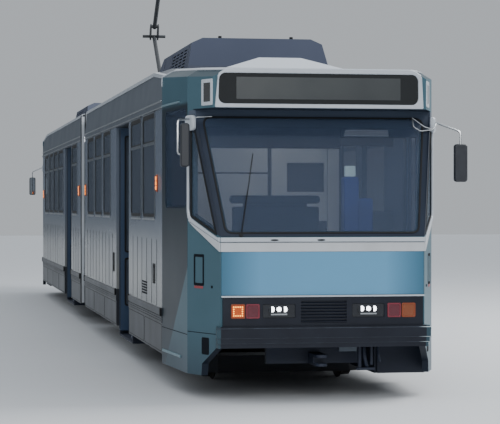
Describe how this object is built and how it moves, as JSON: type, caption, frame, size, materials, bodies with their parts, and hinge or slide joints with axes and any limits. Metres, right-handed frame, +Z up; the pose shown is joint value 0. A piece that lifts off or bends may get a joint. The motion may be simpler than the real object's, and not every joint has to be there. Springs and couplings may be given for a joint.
{
  "type": "articulated tram",
  "caption": "Articulated, double-ended tram with driver's cabs, folding doors, pivoting bogies, a gangway drum and a single-arm pantograph.",
  "frame": {"origin": "under the articulation pivot, at the bottom of the wheel flanges, in the middle of the length and width", "axes": "+X forward along the tram, +Y to its left, +Z up"},
  "size_m": [23.63, 3.064, 5.8554],
  "materials": {
    "underframe_paint": "matt",
    "side_paint": "gloss",
    "side_glass": "tinted",
    "skirt_paint": "semi-gloss",
    "roof_paint": "satin",
    "cab_paint": "gloss",
    "windscreen_glass": "tinted",
    "bumper_black": "satin",
    "lamp_lens": "clear moulded",
    "air_con_paint": "satin",
    "mirror_black": "moulded",
    "seat_fabric": "woven",
    "cab_trim": "textured",
    "door_paint": "gloss",
    "wheel_steel": "worn tread",
    "bogie_paint": "matt",
    "drum_paint": "satin",
    "pantograph_paint": "satin"
  },
  "bodies": {
    "section_a": {"a_underframe": "underframe_paint", "a_side_walls": "side_paint", "a_side_glass": "side_glass", "a_skirts": "skirt_paint", "a_roof": "roof_paint", "a_cab_shell": "cab_paint", "a_cab_glass": "windscreen_glass", "a_bumper": "bumper_black", "a_lamps": "lamp_lens", "a_air_con": "air_con_paint", "a_mirrors": "mirror_black", "a_seats_and_poles": "seat_fabric", "a_cab_fittings": "cab_trim"},
    "section_b": {"b_underframe": "underframe_paint", "b_side_walls": "side_paint", "b_side_glass": "side_glass", "b_skirts": "skirt_paint", "b_roof": "roof_paint", "b_cab_shell": "cab_paint", "b_cab_glass": "windscreen_glass", "b_bumper": "bumper_black", "b_lamps": "lamp_lens", "b_air_con": "air_con_paint", "b_mirrors": "mirror_black", "b_seats_and_poles": "seat_fabric", "b_cab_fittings": "cab_trim", "pantograph_base": "pantograph_paint"},
    "front_bogie": {"front_bogie_frame": "bogie_paint"},
    "centre_bogie": {"centre_bogie_frame": "bogie_paint", "gangway_drum": "drum_paint"},
    "rear_bogie": {"rear_bogie_frame": "bogie_paint"},
    "pantograph_lower_arm": {"pantograph_lower_arm": "pantograph_paint"},
    "pantograph_upper_arm": {"pantograph_upper_arm": "pantograph_paint"},
    "pantograph_head": {"pantograph_head": "pantograph_paint"},
    "front_bogie_fore_wheelset": {"front_bogie_fore_wheelset": "wheel_steel"},
    "front_bogie_aft_wheelset": {"front_bogie_aft_wheelset": "wheel_steel"},
    "centre_bogie_fore_wheelset": {"centre_bogie_fore_wheelset": "wheel_steel"},
    "centre_bogie_aft_wheelset": {"centre_bogie_aft_wheelset": "wheel_steel"},
    "rear_bogie_fore_wheelset": {"rear_bogie_fore_wheelset": "wheel_steel"},
    "rear_bogie_aft_wheelset": {"rear_bogie_aft_wheelset": "wheel_steel"},
    "a_right_door_aft_jamb_leaf": {"a_right_door_aft_jamb_leaf": "door_paint"},
    "a_right_door_aft_end_leaf": {"a_right_door_aft_end_leaf": "door_paint"},
    "a_right_door_fore_jamb_leaf": {"a_right_door_fore_jamb_leaf": "door_paint"},
    "a_right_door_fore_end_leaf": {"a_right_door_fore_end_leaf": "door_paint"},
    "a_left_door_aft_jamb_leaf": {"a_left_door_aft_jamb_leaf": "door_paint"},
    "a_left_door_aft_end_leaf": {"a_left_door_aft_end_leaf": "door_paint"},
    "a_left_door_fore_jamb_leaf": {"a_left_door_fore_jamb_leaf": "door_paint"},
    "a_left_door_fore_end_leaf": {"a_left_door_fore_end_leaf": "door_paint"},
    "a_front_door_jamb_leaf": {"a_front_door_jamb_leaf": "door_paint"},
    "a_front_door_end_leaf": {"a_front_door_end_leaf": "door_paint"},
    "b_left_door_aft_jamb_leaf": {"b_left_door_aft_jamb_leaf": "door_paint"},
    "b_left_door_aft_end_leaf": {"b_left_door_aft_end_leaf": "door_paint"},
    "b_left_door_fore_jamb_leaf": {"b_left_door_fore_jamb_leaf": "door_paint"},
    "b_left_door_fore_end_leaf": {"b_left_door_fore_end_leaf": "door_paint"},
    "b_right_door_aft_jamb_leaf": {"b_right_door_aft_jamb_leaf": "door_paint"},
    "b_right_door_aft_end_leaf": {"b_right_door_aft_end_leaf": "door_paint"},
    "b_right_door_fore_jamb_leaf": {"b_right_door_fore_jamb_leaf": "door_paint"},
    "b_right_door_fore_end_leaf": {"b_right_door_fore_end_leaf": "door_paint"},
    "b_front_door_jamb_leaf": {"b_front_door_jamb_leaf": "door_paint"},
    "b_front_door_end_leaf": {"b_front_door_end_leaf": "door_paint"}
  },
  "joints": [
    {"name": "articulation", "type": "hinge", "parent": "section_a", "child": "section_b", "pos_m": [0, 0, 0.9], "axis": [0, 0, 1], "range_deg": [-28, 28]},
    {"name": "centre_bogie_turn", "type": "hinge", "parent": "section_a", "child": "centre_bogie", "pos_m": [0, 0, 0.6], "axis": [0, 0, 1], "range_deg": [-14, 14]},
    {"name": "front_bogie_turn", "type": "hinge", "parent": "section_a", "child": "front_bogie", "pos_m": [8.3, 0, 0.6], "axis": [0, 0, 1], "range_deg": [-14, 14]},
    {"name": "rear_bogie_turn", "type": "hinge", "parent": "section_b", "child": "rear_bogie", "pos_m": [-8.3, 0, 0.6], "axis": [0, 0, 1], "range_deg": [-14, 14]},
    {"name": "front_fore_wheels_turn", "type": "hinge", "parent": "front_bogie", "child": "front_bogie_fore_wheelset", "pos_m": [9.2, 0, 0.358], "axis": [0, 1, 0], "continuous": true},
    {"name": "front_aft_wheels_turn", "type": "hinge", "parent": "front_bogie", "child": "front_bogie_aft_wheelset", "pos_m": [7.4, 0, 0.358], "axis": [0, 1, 0], "continuous": true},
    {"name": "centre_fore_wheels_turn", "type": "hinge", "parent": "centre_bogie", "child": "centre_bogie_fore_wheelset", "pos_m": [0.9, 0, 0.358], "axis": [0, 1, 0], "continuous": true},
    {"name": "centre_aft_wheels_turn", "type": "hinge", "parent": "centre_bogie", "child": "centre_bogie_aft_wheelset", "pos_m": [-0.9, 0, 0.358], "axis": [0, 1, 0], "continuous": true},
    {"name": "rear_fore_wheels_turn", "type": "hinge", "parent": "rear_bogie", "child": "rear_bogie_fore_wheelset", "pos_m": [-7.4, 0, 0.358], "axis": [0, 1, 0], "continuous": true},
    {"name": "rear_aft_wheels_turn", "type": "hinge", "parent": "rear_bogie", "child": "rear_bogie_aft_wheelset", "pos_m": [-9.2, 0, 0.358], "axis": [0, 1, 0], "continuous": true},
    {"name": "a_right_door_aft_jamb_hinge", "type": "hinge", "parent": "section_a", "child": "a_right_door_aft_jamb_leaf", "pos_m": [5.203, -1.289, 1.5], "axis": [0, 0, 1], "range_deg": [-90, 0]},
    {"name": "a_right_door_aft_fold", "type": "hinge", "parent": "a_right_door_aft_jamb_leaf", "child": "a_right_door_aft_end_leaf", "pos_m": [5.249, -0.9275, 1.5], "axis": [0, 0, 1], "range_deg": [0, 180]},
    {"name": "a_right_door_fore_jamb_hinge", "type": "hinge", "parent": "section_a", "child": "a_right_door_fore_jamb_leaf", "pos_m": [6.667, -1.289, 1.5], "axis": [0, 0, -1], "range_deg": [-90, 0]},
    {"name": "a_right_door_fore_fold", "type": "hinge", "parent": "a_right_door_fore_jamb_leaf", "child": "a_right_door_fore_end_leaf", "pos_m": [6.621, -0.9275, 1.5], "axis": [0, 0, -1], "range_deg": [0, 180]},
    {"name": "a_left_door_aft_jamb_hinge", "type": "hinge", "parent": "section_a", "child": "a_left_door_aft_jamb_leaf", "pos_m": [2.308, 1.289, 1.5], "axis": [0, 0, -1], "range_deg": [0, 90]},
    {"name": "a_left_door_aft_fold", "type": "hinge", "parent": "a_left_door_aft_jamb_leaf", "child": "a_left_door_aft_end_leaf", "pos_m": [2.6695, 1.335, 1.5], "axis": [0, 0, -1], "range_deg": [-180, 0]},
    {"name": "a_left_door_fore_jamb_hinge", "type": "hinge", "parent": "section_a", "child": "a_left_door_fore_jamb_leaf", "pos_m": [3.772, 1.289, 1.5], "axis": [0, 0, 1], "range_deg": [0, 90]},
    {"name": "a_left_door_fore_fold", "type": "hinge", "parent": "a_left_door_fore_jamb_leaf", "child": "a_left_door_fore_end_leaf", "pos_m": [3.4105, 1.335, 1.5], "axis": [0, 0, 1], "range_deg": [-180, 0]},
    {"name": "a_front_door_jamb_hinge", "type": "hinge", "parent": "section_a", "child": "a_front_door_jamb_leaf", "pos_m": [10.07415, 1.27607, 1.5], "axis": [0, 0, -1], "range_deg": [0, 90]},
    {"name": "a_front_door_fold", "type": "hinge", "parent": "a_front_door_jamb_leaf", "child": "a_front_door_end_leaf", "pos_m": [10.5682, 1.28586, 1.5], "axis": [0, 0, -1], "range_deg": [-180, 0]},
    {"name": "b_left_door_aft_jamb_hinge", "type": "hinge", "parent": "section_b", "child": "b_left_door_aft_jamb_leaf", "pos_m": [-2.308, -1.289, 1.5], "axis": [0, 0, -1], "range_deg": [-90, 0]},
    {"name": "b_left_door_aft_fold", "type": "hinge", "parent": "b_left_door_aft_jamb_leaf", "child": "b_left_door_aft_end_leaf", "pos_m": [-2.354, -0.9275, 1.5], "axis": [0, 0, -1], "range_deg": [0, 180]},
    {"name": "b_left_door_fore_jamb_hinge", "type": "hinge", "parent": "section_b", "child": "b_left_door_fore_jamb_leaf", "pos_m": [-3.772, -1.289, 1.5], "axis": [0, 0, 1], "range_deg": [-90, 0]},
    {"name": "b_left_door_fore_fold", "type": "hinge", "parent": "b_left_door_fore_jamb_leaf", "child": "b_left_door_fore_end_leaf", "pos_m": [-3.726, -0.9275, 1.5], "axis": [0, 0, 1], "range_deg": [0, 180]},
    {"name": "b_right_door_aft_jamb_hinge", "type": "hinge", "parent": "section_b", "child": "b_right_door_aft_jamb_leaf", "pos_m": [-5.203, 1.289, 1.5], "axis": [0, 0, 1], "range_deg": [0, 90]},
    {"name": "b_right_door_aft_fold", "type": "hinge", "parent": "b_right_door_aft_jamb_leaf", "child": "b_right_door_aft_end_leaf", "pos_m": [-5.5645, 1.335, 1.5], "axis": [0, 0, 1], "range_deg": [-180, 0]},
    {"name": "b_right_door_fore_jamb_hinge", "type": "hinge", "parent": "section_b", "child": "b_right_door_fore_jamb_leaf", "pos_m": [-6.667, 1.289, 1.5], "axis": [0, 0, -1], "range_deg": [0, 90]},
    {"name": "b_right_door_fore_fold", "type": "hinge", "parent": "b_right_door_fore_jamb_leaf", "child": "b_right_door_fore_end_leaf", "pos_m": [-6.3055, 1.335, 1.5], "axis": [0, 0, -1], "range_deg": [-180, 0]},
    {"name": "b_front_door_jamb_hinge", "type": "hinge", "parent": "section_b", "child": "b_front_door_jamb_leaf", "pos_m": [-10.07415, -1.27607, 1.5], "axis": [0, 0, -1], "range_deg": [0, 90]},
    {"name": "b_front_door_fold", "type": "hinge", "parent": "b_front_door_jamb_leaf", "child": "b_front_door_end_leaf", "pos_m": [-10.5682, -1.28586, 1.5], "axis": [0, 0, -1], "range_deg": [-180, 0]},
    {"name": "pantograph_raise", "type": "hinge", "parent": "section_b", "child": "pantograph_lower_arm", "pos_m": [-0.5, 0, 3.728], "axis": [0, 1, 0], "range_deg": [-35, 5]},
    {"name": "pantograph_knuckle", "type": "hinge", "parent": "pantograph_lower_arm", "child": "pantograph_upper_arm", "pos_m": [-1.68737, 0, 4.72432], "axis": [0, 1, 0], "range_deg": [-10, 70]},
    {"name": "pantograph_head_level", "type": "hinge", "parent": "pantograph_upper_arm", "child": "pantograph_head", "pos_m": [-0.5, 0, 5.72064], "axis": [0, 1, 0], "range_deg": [-35, 5]}
  ],
  "couplings": [
    {"joint": "centre_bogie_turn", "follows": "articulation", "ratio": 0.5},
    {"joint": "a_right_door_aft_fold", "follows": "a_right_door_aft_jamb_hinge", "ratio": -2},
    {"joint": "a_right_door_fore_jamb_hinge", "follows": "a_right_door_aft_jamb_hinge", "ratio": 1},
    {"joint": "a_right_door_fore_fold", "follows": "a_right_door_aft_jamb_hinge", "ratio": -2},
    {"joint": "a_left_door_aft_fold", "follows": "a_left_door_aft_jamb_hinge", "ratio": -2},
    {"joint": "a_left_door_fore_jamb_hinge", "follows": "a_left_door_aft_jamb_hinge", "ratio": 1},
    {"joint": "a_left_door_fore_fold", "follows": "a_left_door_aft_jamb_hinge", "ratio": -2},
    {"joint": "a_front_door_fold", "follows": "a_front_door_jamb_hinge", "ratio": -2},
    {"joint": "b_left_door_aft_fold", "follows": "b_left_door_aft_jamb_hinge", "ratio": -2},
    {"joint": "b_left_door_fore_jamb_hinge", "follows": "b_left_door_aft_jamb_hinge", "ratio": 1},
    {"joint": "b_left_door_fore_fold", "follows": "b_left_door_aft_jamb_hinge", "ratio": -2},
    {"joint": "b_right_door_aft_fold", "follows": "b_right_door_aft_jamb_hinge", "ratio": -2},
    {"joint": "b_right_door_fore_jamb_hinge", "follows": "b_right_door_aft_jamb_hinge", "ratio": 1},
    {"joint": "b_right_door_fore_fold", "follows": "b_right_door_aft_jamb_hinge", "ratio": -2},
    {"joint": "b_front_door_fold", "follows": "b_front_door_jamb_hinge", "ratio": -2},
    {"joint": "pantograph_knuckle", "follows": "pantograph_raise", "ratio": -2},
    {"joint": "pantograph_head_level", "follows": "pantograph_raise", "ratio": 1}
  ]
}
